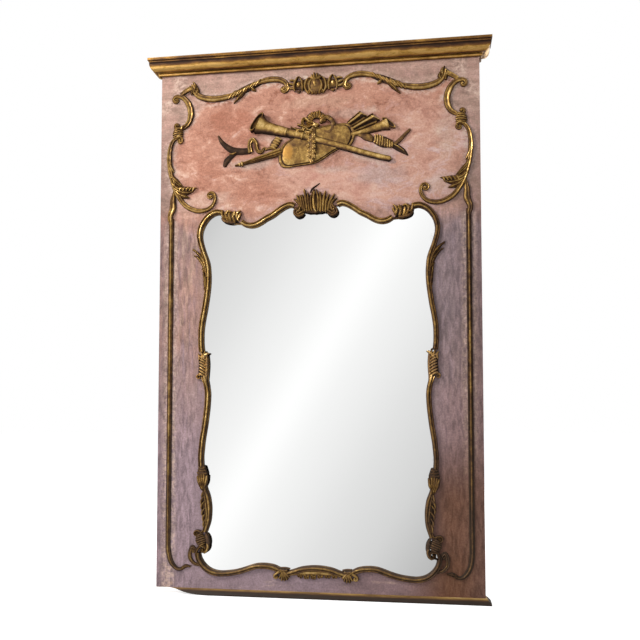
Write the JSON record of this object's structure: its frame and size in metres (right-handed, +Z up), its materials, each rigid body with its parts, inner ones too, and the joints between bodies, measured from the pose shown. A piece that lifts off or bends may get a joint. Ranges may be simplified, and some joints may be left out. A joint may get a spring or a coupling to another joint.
{
  "type": "trumeau mirror",
  "caption": "Tall painted panel with a shaped looking-glass, gilded carved scrolls, a carved trophy of music, a moulded cornice and a back frame to stand on a mantel or hang.",
  "frame": {"origin": "middle of the base's underside, in the plane of the painted face", "axes": "+Z up, the painted face looks along -Y, the wall is on the +Y side, +X to the right as seen from the front"},
  "size_m": [1.073, 0.0765, 1.6811],
  "materials": {
    "painted_boards": "chalky worn paint on wood",
    "gilt_carving": "aged gilding on carved wood",
    "gilt_cornice": "aged gilding on moulded wood",
    "dark_base": "dark bronze paint on wood",
    "bare_wood": "unfinished aged softwood",
    "mirror_glass": "silvered glass",
    "screws": "dull steel",
    "hanging_hardware": "plated steel"
  },
  "bodies": {
    "mirror_frame": {"back_rail_bottom": "bare_wood", "back_rail_middle": "bare_wood", "back_rail_top": "bare_wood", "back_stile_left": "bare_wood", "back_stile_right": "bare_wood", "backboard_screws": "screws", "backboards": "bare_wood", "base_moulding": "dark_base", "bottom_arch": "gilt_carving", "bottom_clasp_left": "gilt_carving", "bottom_clasp_right": "gilt_carving", "bottom_run_left": "gilt_carving", "bottom_run_right": "gilt_carving", "corner_clasp_left": "gilt_carving", "corner_clasp_right": "gilt_carving", "cornice_front": "gilt_cornice", "cornice_return_left": "gilt_cornice", "cornice_return_right": "gilt_cornice", "cornice_top_board": "bare_wood", "ear_scroll_left": "gilt_carving", "ear_scroll_right": "gilt_carving", "flower_drop": "gilt_carving", "garland_left": "gilt_carving", "garland_right": "gilt_carving", "glazing_blocks": "bare_wood", "hanger_screws": "screws", "hanger_strap_left": "hanging_hardware", "hanger_strap_right": "hanging_hardware", "horn": "gilt_carving", "lower_leaf_left": "gilt_carving", "lower_leaf_right": "gilt_carving", "lower_panel": "painted_boards", "lower_run_left": "gilt_carving", "lower_run_right": "gilt_carving", "mirror_glass": "mirror_glass", "music_rolls": "gilt_carving", "pipe": "gilt_carving", "ribbon_bow": "gilt_carving", "ribbon_left": "gilt_carving", "ribbon_right": "gilt_carving", "shell_crest": "gilt_carving", "shoulder_clasp_left": "gilt_carving", "shoulder_clasp_right": "gilt_carving", "side_clasp_left": "gilt_carving", "side_clasp_right": "gilt_carving", "side_scroll_left": "gilt_carving", "side_scroll_right": "gilt_carving", "stile_left": "painted_boards", "stile_right": "painted_boards", "stile_strip_left": "gilt_carving", "stile_strip_right": "gilt_carving", "top_cartouche": "gilt_carving", "top_run_left": "gilt_carving", "top_run_right": "gilt_carving", "upper_panel": "painted_boards", "upper_run_left": "gilt_carving", "upper_run_right": "gilt_carving", "viol_body": "gilt_carving"},
    "ring_left": {"hanger_ring_left": "hanging_hardware"},
    "ring_right": {"hanger_ring_right": "hanging_hardware"}
  },
  "joints": [
    {"name": "ring_left_swing", "type": "hinge", "parent": "mirror_frame", "child": "ring_left", "pos_m": [-0.395, 0.0212, 1.518], "axis": [1, 0, 0], "range_deg": [0, 180]},
    {"name": "ring_right_swing", "type": "hinge", "parent": "mirror_frame", "child": "ring_right", "pos_m": [0.395, 0.0212, 1.518], "axis": [1, 0, 0], "range_deg": [0, 180]}
  ]
}
